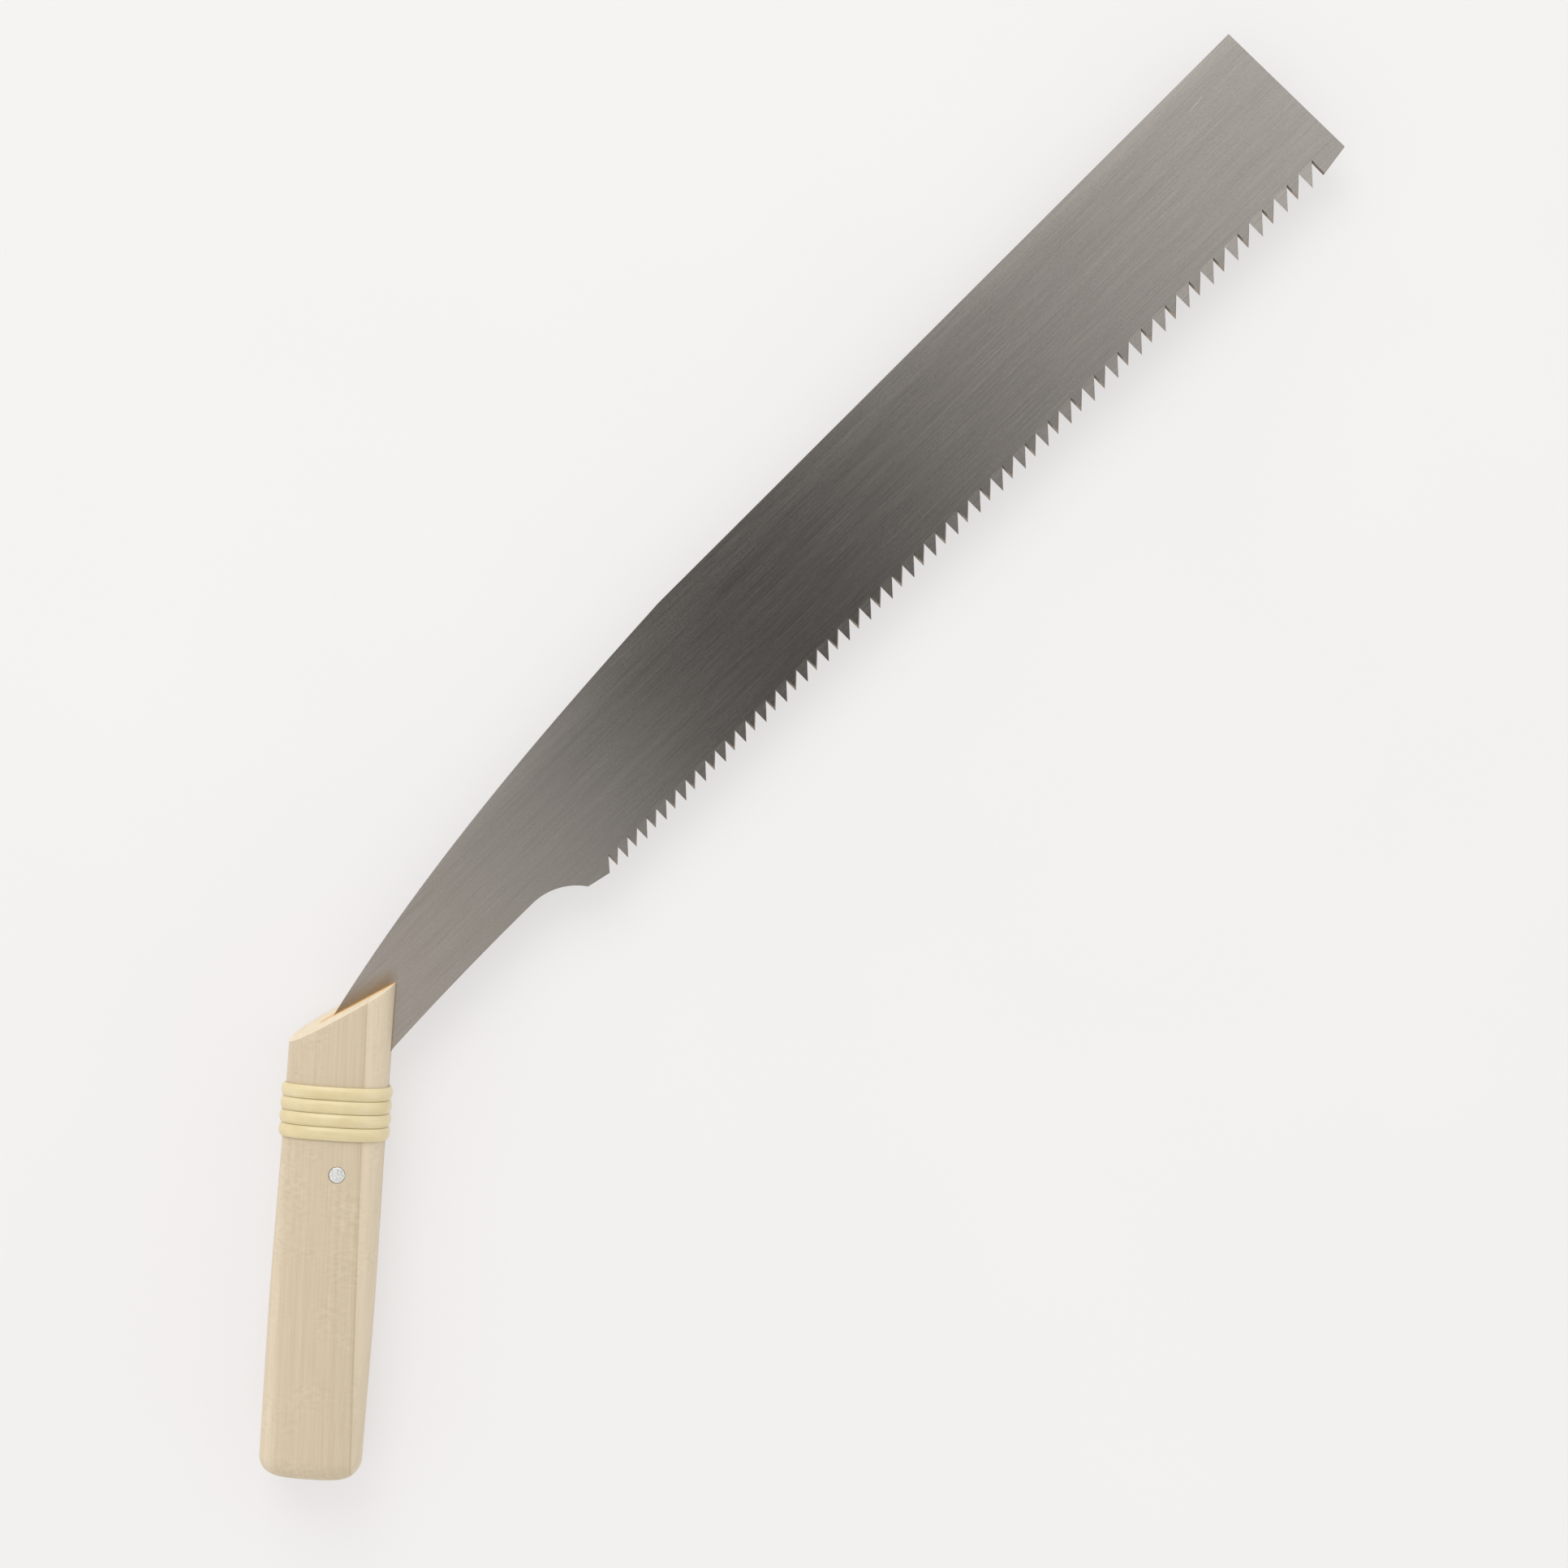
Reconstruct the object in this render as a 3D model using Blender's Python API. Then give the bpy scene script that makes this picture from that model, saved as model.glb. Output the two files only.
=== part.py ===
"""Bent-neck pull saw: a toothed plate let into a sawn wooden grip, bound with cord and riveted.

The saw lies on its side. X runs along the tooth points towards the toe, the teeth point to -Y, and the
plate's middle plane is level. Lengths are in metres.
"""

from math import atan2, cos, pi, radians, sin, tan

import bmesh
import bpy
from mathutils import Matrix, Vector

# Room left where two pieces touch
SEAT_GAP = 0.0003

# Toothed plate, measured from the heel corner of the tooth line
PLATE_THICKNESS = 0.0010
TOOTHED_LENGTH = 0.300
GULLET_COUNT = 65
FIRST_TIP = 0.0032
HEEL_PITCH = 0.0040
GULLET_DEPTH_PER_PITCH = 1.08
FLEAM_ANGLE = radians(25)
TOOTH_SET = 0.0003
UPPER_TOOTH_REACH = 0.0006
BEAK_LENGTH = 0.0104
BEAK_RISE = 0.0016
TOE_WIDTH = 0.0502
TOE_LEAN = 0.0013
KINK_X = 0.067
KINK_WIDTH = 0.0478

# Neck between the toothed plate and the grip
HEEL_CORNER = (-0.0075, 0.0016)
NECK_START_X = -0.023
NECK_LOWER_Y = 0.00965
NECK_DROP = 0.0018
NECK_BEND_RADIUS = 0.010
SPINE_SLOPE_AT_KINK = radians(3.6)
SPINE_SLOPE_AT_GRIP = radians(13.6)

# Tang: its back behind the grip's axis, and its front inside the grip's front
SPINE_ENTRY_ACROSS = -0.0026
TANG_BACK = 0.0060
TANG_INSET_AT_HEAD = 0.00065
TANG_INSET_AT_END = 0.00525
TANG_BELOW_BINDING = 0.031
TANG_END_RADIUS = 0.004

# Wooden grip: its own axis runs from the binding's middle to the butt
GRIP_PLACE = (-0.1087, 0.0066)
GRIP_ANGLE = radians(-138.5)
GRIP_WIDTH = 0.0305
GRIP_THICKNESS = 0.0230
GRIP_SWELL = 0.0008
GRIP_BELOW_BINDING = 0.110
GRIP_OVAL_POWER = 2.6
BUTT_ROUNDING = 0.006
END_FRONT_REACH = 0.0398
END_SLANT = radians(32.3)
END_TURN = radians(9)

# Cord binding
BINDING_TURNS = 4
BINDING_PITCH = 0.0040
UPPER_STEP_SHARE = 0.2
CORD_WIDTH = 0.0037
CORD_THICKNESS = 0.0010
CORD_FLAT_SHARE = 0.88
CORD_SIDE_SHARE = 0.35

# Two-piece rivet, its centre along and across the grip
RIVET_ALONG = 0.0181
RIVET_ACROSS = 0.0031
RIVET_HEAD_DIAMETER = 0.0050
RIVET_HEAD_THICKNESS = 0.0012
RIVET_CHAMFER = 0.0003
RIVET_TUBE_DIAMETER = 0.0040
RIVET_PIN_DIAMETER = 0.0021

# Facets
OVAL_STEPS = 56
ROUND_STEPS = 40
CURVE_STEPS = 14
CORD_STEPS = 8
CUTTER_REACH = 0.1


def along_grip(along, across):
    """A point of the plate's plane, from its place along and across the grip."""
    return Vector(
        (
            GRIP_PLACE[0] + along * cos(GRIP_ANGLE) - across * sin(GRIP_ANGLE),
            GRIP_PLACE[1] + along * sin(GRIP_ANGLE) + across * cos(GRIP_ANGLE),
        )
    )


def slanted_end(across):
    """How far along the grip its slanted end lies, this far across it."""
    return (GRIP_WIDTH / 2 - across) * tan(END_SLANT) - END_FRONT_REACH


def grip_growth(along):
    """Half of the extra width that the grip's gentle swell gives it here."""
    share = min(max(along / GRIP_BELOW_BINDING, 0), 1)
    return GRIP_SWELL / 2 * (1 - cos(2 * pi * share)) / 2


def oval(turn, along, outset=0.0):
    """Point and outward direction on the grip's skin, at an angle round it and a place along it."""
    half_width = GRIP_WIDTH / 2 + grip_growth(along)
    half_thickness = GRIP_THICKNESS / 2 + grip_growth(along)
    c, s = cos(turn), sin(turn)
    share = 2 / GRIP_OVAL_POWER
    point = Vector(
        (
            half_width * abs(c) ** share * (1 if c > 0 else -1),
            half_thickness * abs(s) ** share * (1 if s > 0 else -1),
        )
    )
    power = GRIP_OVAL_POWER - 1
    out = Vector(
        (
            abs(point.x / half_width) ** power / half_width * (1 if c > 0 else -1),
            abs(point.y / half_thickness) ** power / half_thickness * (1 if s > 0 else -1),
        )
    ).normalized()
    return point + out * outset, out


def skin_height(across, along):
    """Half the grip's thickness, this far across it."""
    half_width = GRIP_WIDTH / 2 + grip_growth(along)
    half_thickness = GRIP_THICKNESS / 2 + grip_growth(along)
    left = 1 - abs(across / half_width) ** GRIP_OVAL_POWER
    return half_thickness * left ** (1 / GRIP_OVAL_POWER)


def bezier(start, start_pull, end_pull, end, steps):
    points = []
    for i in range(steps + 1):
        t = i / steps
        u = 1 - t
        points.append(start * u**3 + start_pull * 3 * u**2 * t + end_pull * 3 * u * t**2 + end * t**3)
    return points


def arc(centre, radius, start, end, steps):
    turns = [start + (end - start) * i / steps for i in range(steps + 1)]
    return [Vector((centre[0] + radius * cos(a), centre[1] + radius * sin(a))) for a in turns]


def rounded_turn(before, corner, after, radius, steps):
    """The arc that is tangent to the lines before-corner and corner-after."""
    back, ahead = (before - corner).normalized(), (after - corner).normalized()
    half = back.angle(ahead) / 2
    centre = corner + (back + ahead).normalized() * (radius / sin(half))
    start = corner + back * (radius / tan(half)) - centre
    end = corner + ahead * (radius / tan(half)) - centre
    sweep = -start.angle_signed(end)
    first = atan2(start.y, start.x)
    return arc(centre, radius, first, first + sweep, steps)


def meeting(first, first_way, second, second_way):
    """Where two lines in the plane cross."""
    return first + first_way * ((second - first).cross(second_way) / first_way.cross(second_way))


def material(name, colour, roughness, metallic):
    made = bpy.data.materials.new(name)
    made.use_nodes = True
    shader = made.node_tree.nodes["Principled BSDF"]
    shader.inputs["Base Color"].default_value = (*colour, 1)
    shader.inputs["Roughness"].default_value = roughness
    shader.inputs["Metallic"].default_value = metallic
    made.diffuse_color = (*colour, 1)
    return made


def add_object(name, bm, parent=None, finish=None, round_over=None):
    mesh = bpy.data.meshes.new(name)
    bm.to_mesh(mesh)
    bm.free()
    made = bpy.data.objects.new(name, mesh)
    bpy.context.scene.collection.objects.link(made)
    made.parent = parent
    if finish:
        mesh.materials.append(finish)
    if round_over:
        mesh.shade_smooth()
        mesh.set_sharp_from_angle(angle=round_over)
    return made


def hide_cutter(cutter):
    cutter.hide_render = True
    cutter.display_type = "WIRE"
    return cutter


def cut(target, cutter):
    modifier = target.modifiers.new(cutter.name, "BOOLEAN")
    modifier.operation = "DIFFERENCE"
    modifier.solver = "EXACT"
    modifier.object = cutter


def extruded(outline, low, high):
    """A closed prism over a counterclockwise outline."""
    bm = bmesh.new()
    bottom = [bm.verts.new((p[0], p[1], low)) for p in outline]
    top = [bm.verts.new((p[0], p[1], high)) for p in outline]
    bm.faces.new(top)
    bm.faces.new(bottom[::-1])
    for i in range(len(outline)):
        j = (i + 1) % len(outline)
        bm.faces.new((bottom[i], bottom[j], top[j], top[i]))
    return bm


def rings_to_body(rings):
    """A closed body through rings of points, with a flat face at each end."""
    bm = bmesh.new()
    made = [[bm.verts.new(p) for p in ring] for ring in rings]
    for first, second in zip(made, made[1:]):
        for i in range(len(first)):
            j = (i + 1) % len(first)
            bm.faces.new((first[i], first[j], second[j], second[i]))
    bm.faces.new(made[0][::-1])
    bm.faces.new(made[-1])
    bmesh.ops.recalc_face_normals(bm, faces=bm.faces)
    return bm


def turned(profile):
    """A closed body of revolution about Z, from (radius, height) points that start and end on the axis."""
    bm = bmesh.new()
    rings = []
    for radius, height in profile:
        if radius == 0:
            rings.append([bm.verts.new((0, 0, height))])
            continue
        turns = [2 * pi * i / ROUND_STEPS for i in range(ROUND_STEPS)]
        rings.append([bm.verts.new((radius * cos(a), radius * sin(a), height)) for a in turns])
    for first, second in zip(rings, rings[1:]):
        for i in range(ROUND_STEPS):
            j = (i + 1) % ROUND_STEPS
            corners = [first[i % len(first)], first[j % len(first)]]
            corners += [second[j % len(second)], second[i % len(second)]]
            bm.faces.new(dict.fromkeys(corners))
    bmesh.ops.recalc_face_normals(bm, faces=bm.faces)
    return bm


# Toothed plate


def tooth_tips():
    """X of every tooth point, from the heel corner to the beak, with the pitch growing evenly."""
    pitches = GULLET_COUNT - 1
    toe_pitch = 2 * (TOOTHED_LENGTH - FIRST_TIP) / pitches - HEEL_PITCH
    tips = [0.0, FIRST_TIP]
    for i in range(pitches):
        tips.append(tips[-1] + HEEL_PITCH + (toe_pitch - HEEL_PITCH) * i / (pitches - 1))
    return tips


def toothed_edge(side):
    """Tooth points and gullet bottoms on one face of the plate: side is 1 on the upper face, -1 below.

    Each gullet is filed at the fleam angle, by turns from either side, so its bottom moves along the
    plate from face to face and every second tooth is bevelled on the same face. The teeth set upwards
    reach a little further out.
    """
    tips = tooth_tips()
    fleam = PLATE_THICKNESS * tan(FLEAM_ANGLE)
    bottoms, points = [None], []
    for k in range(1, GULLET_COUNT + 1):
        shift = fleam if (k % 2 == 1) == (side == 1) else 0
        pitch = max(tips[k] - tips[k - 1], HEEL_PITCH)
        bottoms.append((shift, Vector((tips[k] + shift, pitch * GULLET_DEPTH_PER_PITCH))))
    for k in range(GULLET_COUNT):
        shift = bottoms[k][0] if k else 0
        next_shift, bottom = bottoms[k + 1]
        reach = UPPER_TOOTH_REACH if k and k % 2 == 0 else 0
        slope = (bottom.y + reach) / (tips[k + 1] - tips[k] + fleam)
        if k == 0:
            edge_slope = HEEL_CORNER[1] / HEEL_CORNER[0]
            x = slope * (next_shift - fleam) / (slope - edge_slope)
            points.append(Vector((x, x * edge_slope)))
        else:
            points.append(Vector((tips[k] + shift, slope * (shift - next_shift + fleam) - reach)))
    beak_shift = bottoms[-1][0]
    points.append(Vector((TOOTHED_LENGTH + beak_shift, BEAK_RISE * beak_shift / BEAK_LENGTH)))
    return points, [bottom for _, bottom in bottoms[1:]]


def neck_edge(x):
    """A point on the neck's lower edge, which falls away a little towards the grip."""
    grip_x = along_grip(-END_FRONT_REACH / 2, GRIP_WIDTH / 2).x
    share = (x - NECK_START_X) / (grip_x - NECK_START_X)
    return Vector((x, NECK_LOWER_Y - NECK_DROP * share**2))


def plain_outline():
    """The plate's outline from the toe, along the spine, round the tang and back to the heel corner."""
    toe_low = Vector((TOOTHED_LENGTH + BEAK_LENGTH, BEAK_RISE))
    toe_high = Vector((toe_low.x - TOE_LEAN, TOE_WIDTH))
    kink = Vector((KINK_X, KINK_WIDTH))
    entry = along_grip(slanted_end(SPINE_ENTRY_ACROSS), SPINE_ENTRY_ACROSS)
    pull = (kink.x - entry.x) / 3
    spine = bezier(
        kink,
        kink - pull * Vector((1, tan(SPINE_SLOPE_AT_KINK))),
        entry + pull * Vector((1, tan(SPINE_SLOPE_AT_GRIP))),
        entry,
        CURVE_STEPS * 2,
    )

    # Tang back: an arc that brings the spine parallel with the grip
    spine_heading = Vector((-cos(SPINE_SLOPE_AT_GRIP), -sin(SPINE_SLOPE_AT_GRIP)))
    grip_heading = along_grip(1, 0) - along_grip(0, 0)
    turn = abs(spine_heading.angle_signed(grip_heading))
    back_radius = (TANG_BACK + SPINE_ENTRY_ACROSS) / (1 - cos(turn))
    back_start = slanted_end(SPINE_ENTRY_ACROSS) + back_radius * sin(turn)
    back = []
    for i in range(1, CURVE_STEPS + 1):
        a = turn * (1 - i / CURVE_STEPS)
        back.append(
            along_grip(back_start - back_radius * sin(a), back_radius * (1 - cos(a)) - TANG_BACK)
        )

    # Tang end, then its front, which bends into the neck's lower edge
    steps = CURVE_STEPS // 2
    end_back = along_grip(TANG_BELOW_BINDING, -TANG_BACK)
    end_front = along_grip(TANG_BELOW_BINDING, GRIP_WIDTH / 2 - TANG_INSET_AT_END)
    head_front = along_grip(-END_FRONT_REACH / 2, GRIP_WIDTH / 2 - TANG_INSET_AT_HEAD)
    end = rounded_turn(back[-1], end_back, end_front, TANG_END_RADIUS, steps)
    end += rounded_turn(end_back, end_front, head_front, TANG_END_RADIUS, steps)
    edge_point = neck_edge(head_front.x)
    edge_way = neck_edge(NECK_START_X) - neck_edge(2 * head_front.x - NECK_START_X)
    bend_corner = meeting(head_front, grip_heading, edge_point, edge_way)
    bend = rounded_turn(end_front, bend_corner, bend_corner + edge_way, NECK_BEND_RADIUS, steps)
    neck_reach = NECK_START_X - bend[-1].x
    neck = [neck_edge(bend[-1].x + neck_reach * i / CURVE_STEPS) for i in range(1, CURVE_STEPS + 1)]

    # Hollow under the heel
    neck_top = neck_edge(NECK_START_X)
    corner = Vector(HEEL_CORNER)
    fall = neck_top.y - corner.y
    radius = ((corner.x - neck_top.x) ** 2 + fall**2) / (2 * fall)
    centre = Vector((neck_top.x, neck_top.y - radius))
    reach = atan2(corner.y - centre.y, corner.x - centre.x)
    hollow = arc(centre, radius, pi / 2, reach, CURVE_STEPS)[1:]
    return [toe_low, toe_high, *spine, *back, *end, *bend, *neck, *hollow]


def saw_blade(parent, finish):
    bm = bmesh.new()
    outline = plain_outline()
    faces = []
    for side in (1, -1):
        height = side * PLATE_THICKNESS / 2
        points, bottoms = toothed_edge(side)
        tips = []
        for k, point in enumerate(points):
            bend = 0.0
            if 0 < k < GULLET_COUNT:
                direction = -1 if k % 2 else 1
                bend = direction * TOOTH_SET * (1 - point.y / bottoms[k - 1].y)
            tips.append(bm.verts.new((point.x, point.y, height + bend)))
        roots = [bm.verts.new((p.x, p.y, height)) for p in bottoms]
        rest = [bm.verts.new((p.x, p.y, height)) for p in outline]
        faces.append((tips, roots, rest))
        flat = [tips[0], *roots, tips[-1], *rest]
        bm.faces.new(flat if side == 1 else flat[::-1])
        for k in range(1, GULLET_COUNT):
            tooth = (tips[k], roots[k], roots[k - 1])
            bm.faces.new(tooth if side == 1 else tooth[::-1])

    def edge(tips, roots, rest):
        ring = [tips[0]]
        for k in range(GULLET_COUNT):
            ring += [roots[k], tips[k + 1]]
        return ring + rest

    upper, lower = edge(*faces[0]), edge(*faces[1])
    for i in range(len(upper)):
        j = (i + 1) % len(upper)
        bm.faces.new((upper[i], lower[i], lower[j], upper[j]))
    bmesh.ops.recalc_face_normals(bm, faces=bm.faces)
    return add_object("saw_blade", bm, parent, finish, radians(20))


# Grip


def handle(parent, finish):
    butt = GRIP_BELOW_BINDING
    places = [(-END_FRONT_REACH - BUTT_ROUNDING, 0.0)]
    straight = butt - BUTT_ROUNDING
    places += [(straight * i / CURVE_STEPS, 0.0) for i in range(CURVE_STEPS + 1)]
    steps = CURVE_STEPS // 2
    for i in range(1, steps + 1):
        a = pi / 2 * i / steps
        places.append((straight + BUTT_ROUNDING * sin(a), BUTT_ROUNDING * (1 - cos(a))))
    turns = [2 * pi * (i + 0.5) / OVAL_STEPS for i in range(OVAL_STEPS)]
    rings = []
    for along, inset in places:
        skin = [oval(turn, along, -inset)[0] for turn in turns]
        rings.append([(along, p.x, p.y) for p in skin])
    return add_object("handle", rings_to_body(rings), parent, finish, radians(30))


def end_cutter(parent):
    """Takes the slanted end off the grip. The cut also turns a little to the upper side."""
    box = bmesh.new()
    bmesh.ops.create_cube(box, size=1)
    bmesh.ops.scale(box, vec=Vector((CUTTER_REACH, CUTTER_REACH * 2, CUTTER_REACH)), verts=box.verts)
    bmesh.ops.translate(box, vec=Vector((-CUTTER_REACH / 2, 0, 0)), verts=box.verts)
    cutter = add_object("end_cutter", box, parent)
    cutter.location = (slanted_end(0), 0, 0)
    slant = Matrix.Rotation(END_SLANT, 3, "Z")
    cutter.rotation_euler = (slant @ Matrix.Rotation(END_TURN, 3, "Y")).to_euler()
    return hide_cutter(cutter)


def kerf_cutter(parent):
    """The sawn slot that takes the tang: open at the slanted end and along the front."""
    floor = -TANG_BACK - SEAT_GAP
    low = TANG_BELOW_BINDING + SEAT_GAP
    front = GRIP_WIDTH
    start = -END_FRONT_REACH * 2
    corner = Vector((low, floor))
    outline = [Vector((start, floor))]
    outline += rounded_turn(outline[0], corner, Vector((low, front)), TANG_END_RADIUS, CURVE_STEPS // 2)
    outline += [Vector((low, front)), Vector((start, front))]
    half = PLATE_THICKNESS / 2 + SEAT_GAP
    return hide_cutter(add_object("kerf_cutter", extruded(outline, -half, half), parent))


# Binding


def cord_route():
    """Along-grip place and angle of every station on the cord, from one hidden end to the other.

    The turns lie nearly square to the grip above, and step on to the next turn underneath.
    """
    route = []
    first_band = -BINDING_PITCH * (BINDING_TURNS - 1) / 2
    for i in range(BINDING_TURNS * OVAL_STEPS + 1):
        turns_done = i / OVAL_STEPS
        whole, part = divmod(turns_done + 0.5, 1.0)
        step = min(max((part - 0.25) / 0.5, 0.0), 1.0)
        step = step * step * (3 - 2 * step)
        bands = whole - 1 + UPPER_STEP_SHARE * part + (1 - UPPER_STEP_SHARE) * step
        route.append((first_band + BINDING_PITCH * bands, 2 * pi * turns_done - pi / 2))
    return route


def binding(parent, finish):
    route = cord_route()
    rings = []
    for i, (along, turn) in enumerate(route):
        point, out = oval(turn, along, SEAT_GAP)
        ends = []
        for near_along, near_turn in (route[max(i - 1, 0)], route[min(i + 1, len(route) - 1)]):
            near, _ = oval(near_turn, near_along, SEAT_GAP)
            ends.append(Vector((near_along, near.x, near.y)))
        normal = Vector((0, out.x, out.y))
        across = (ends[1] - ends[0]).cross(normal).normalized()
        middle = Vector((along, point.x, point.y))
        rings.append([middle + across * u + normal * v for u, v in cord_section()])
    return add_object("cord_binding", rings_to_body(rings), parent, finish, radians(50))


def cord_section():
    """Flat underneath and rounded on top."""
    side = CORD_SIDE_SHARE * CORD_THICKNESS
    foot = CORD_FLAT_SHARE * CORD_WIDTH / 2
    crown = []
    for i in range(CORD_STEPS + 1):
        a = pi * i / CORD_STEPS
        crown.append((CORD_WIDTH / 2 * cos(a), side + (CORD_THICKNESS - side) * sin(a)))
    return [(foot, 0.0), *crown, (-foot, 0.0)]


# Rivet


def rivet_seat():
    """Height of the rivet heads' outer faces, which lie level with the grip's skin."""
    return skin_height(abs(RIVET_ACROSS) - RIVET_HEAD_DIAMETER / 4, RIVET_ALONG)


def rivet_head(top):
    radius = RIVET_HEAD_DIAMETER / 2
    rim = [(radius, top - RIVET_CHAMFER), (radius, top - RIVET_HEAD_THICKNESS)]
    return [(0, top), (radius - RIVET_CHAMFER, top), *rim]


def rivet_tube(parent, finish):
    """The hollow half, headed above."""
    top = rivet_seat()
    outer, bore = RIVET_TUBE_DIAMETER / 2, RIVET_PIN_DIAMETER / 2 + SEAT_GAP
    end = -top + RIVET_HEAD_THICKNESS + SEAT_GAP
    inner_end = top - RIVET_HEAD_THICKNESS
    profile = rivet_head(top)
    profile += [(outer, inner_end), (outer, end), (bore, end), (bore, inner_end), (0, inner_end)]
    return add_object("rivet_tube", turned(profile), parent, finish, radians(30))


def rivet_pin(parent, finish):
    """The solid half, headed below, pressed up into the tube."""
    top = rivet_seat()
    radius = RIVET_PIN_DIAMETER / 2
    end = top - RIVET_HEAD_THICKNESS - SEAT_GAP
    head = [(r, -z) for r, z in rivet_head(top)]
    profile = [*head, (radius, head[-1][1]), (radius, end), (0, end)]
    return add_object("rivet_pin", turned(profile), parent, finish, radians(30))


def rivet_cutter(parent):
    """The bore for the tube, with a seat for each head."""
    seat = rivet_seat() - RIVET_HEAD_THICKNESS - SEAT_GAP
    bore = RIVET_TUBE_DIAMETER / 2 + SEAT_GAP
    head = RIVET_HEAD_DIAMETER / 2 + SEAT_GAP
    reach = GRIP_THICKNESS
    profile = [(0, reach), (head, reach), (head, seat), (bore, seat)]
    profile += [(r, -z) for r, z in reversed(profile)]
    return hide_cutter(add_object("rivet_cutter", turned(profile), parent))


def empty(name, parent=None):
    made = bpy.data.objects.new(name, None)
    bpy.context.scene.collection.objects.link(made)
    made.parent = parent
    return made


def set_down(saw):
    """Moves the saw so that the world's origin is the middle of its underside."""
    bpy.context.view_layer.update()
    graph = bpy.context.evaluated_depsgraph_get()
    low, high = Vector((1e9,) * 3), Vector((-1e9,) * 3)
    for piece in bpy.context.scene.objects:
        if piece.type != "MESH" or piece.hide_render:
            continue
        ready = piece.evaluated_get(graph)
        for vertex in ready.data.vertices:
            place = ready.matrix_world @ vertex.co
            low = Vector(map(min, low, place))
            high = Vector(map(max, high, place))
    saw.location = (-(low.x + high.x) / 2, -(low.y + high.y) / 2, -low.z)


def main():
    for old in list(bpy.data.objects):
        bpy.data.objects.remove(old)
    steel = material("brushed_carbon_steel", (0.33, 0.31, 0.29), 0.35, 1.0)
    wood = material("pale_bare_wood", (0.70, 0.56, 0.38), 0.65, 0.0)
    cord = material("pale_yellow_cord", (0.76, 0.61, 0.33), 0.5, 0.0)
    zinc = material("bright_rivet_steel", (0.72, 0.73, 0.74), 0.3, 1.0)

    saw = empty("saw")
    grip = empty("grip", saw)
    grip.location = (*GRIP_PLACE, 0)
    grip.rotation_euler = (0, 0, GRIP_ANGLE)
    rivet = empty("rivet", grip)
    rivet.location = (RIVET_ALONG, RIVET_ACROSS, 0)

    blade = saw_blade(saw, steel)
    wooden_grip = handle(grip, wood)
    binding(grip, cord)
    rivet_tube(rivet, zinc)
    rivet_pin(rivet, zinc)

    bore = rivet_cutter(rivet)
    cut(blade, bore)
    for cutter in (end_cutter(grip), kerf_cutter(grip), bore):
        cut(wooden_grip, cutter)
    set_down(saw)


main()
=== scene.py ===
from math import cos, pi, radians, sin, tan

import bmesh
import bpy
from mathutils import Matrix, Vector


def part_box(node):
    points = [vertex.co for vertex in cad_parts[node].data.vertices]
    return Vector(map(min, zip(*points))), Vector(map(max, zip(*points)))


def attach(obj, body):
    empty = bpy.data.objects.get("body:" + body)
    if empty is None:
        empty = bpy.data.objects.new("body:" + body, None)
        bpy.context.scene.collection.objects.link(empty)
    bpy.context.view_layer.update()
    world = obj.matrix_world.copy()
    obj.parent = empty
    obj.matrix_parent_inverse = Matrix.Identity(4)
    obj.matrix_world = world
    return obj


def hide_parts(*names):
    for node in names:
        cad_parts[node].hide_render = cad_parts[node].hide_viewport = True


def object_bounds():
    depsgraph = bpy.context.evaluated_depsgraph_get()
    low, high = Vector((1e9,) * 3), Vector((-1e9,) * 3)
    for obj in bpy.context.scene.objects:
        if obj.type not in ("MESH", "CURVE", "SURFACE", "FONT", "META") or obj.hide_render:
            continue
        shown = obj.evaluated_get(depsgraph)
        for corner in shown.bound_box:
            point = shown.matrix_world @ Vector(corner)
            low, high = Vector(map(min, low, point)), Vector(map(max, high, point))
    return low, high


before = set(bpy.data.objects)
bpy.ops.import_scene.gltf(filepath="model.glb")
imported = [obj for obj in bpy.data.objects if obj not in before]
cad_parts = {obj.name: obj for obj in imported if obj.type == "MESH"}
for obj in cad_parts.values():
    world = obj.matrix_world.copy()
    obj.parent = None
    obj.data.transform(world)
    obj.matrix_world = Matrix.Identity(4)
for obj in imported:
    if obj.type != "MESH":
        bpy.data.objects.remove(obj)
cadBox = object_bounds()
scene = bpy.context.scene
scene.view_settings.view_transform = "Standard"  # so that hex colours come out as written

mm = 0.001

# Settings that many nodes share
multiply = {"operation": "MULTIPLY"}
multiplyAdd = {"operation": "MULTIPLY_ADD"}
absolute = {"operation": "ABSOLUTE"}
minus = {"operation": "SUBTRACT"}
toPower = {"operation": "POWER"}
smoothStep = {"interpolation_type": "SMOOTHSTEP"}
blend = {"data_type": "RGBA"}
tint = {"data_type": "RGBA", "blend_type": "MULTIPLY"}


# Shared helpers

def srgb(code):
    values = [int(code[i:i + 2], 16) / 255 for i in (0, 2, 4)]
    linear = [v / 12.92 if v <= 0.04045 else ((v + 0.055) / 1.055) ** 2.4 for v in values]
    return (*linear, 1.0)


def addNode(tree, kind, settings=None, **inputs):
    # An input is a value, or a (node, output) pair that gets linked
    node = tree.nodes.new(kind)
    for name, value in (settings or {}).items():
        setattr(node, name, value)
    for key, value in inputs.items():
        socket = node.inputs[int(key[2:])] if key.startswith("at") else node.inputs[key.replace("_", " ")]
        if isinstance(value, tuple) and len(value) == 2 and isinstance(value[0], bpy.types.Node):
            tree.links.new(value[0].outputs[value[1]], socket)
        else:
            socket.default_value = value
    return node


def newMaterial(name):
    made = bpy.data.materials.new(name)
    made.use_nodes = True
    made.node_tree.nodes.clear()
    return made, made.node_tree


def closeMaterial(tree, shader):
    addNode(tree, "ShaderNodeOutputMaterial", at0=(shader, 0))


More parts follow.
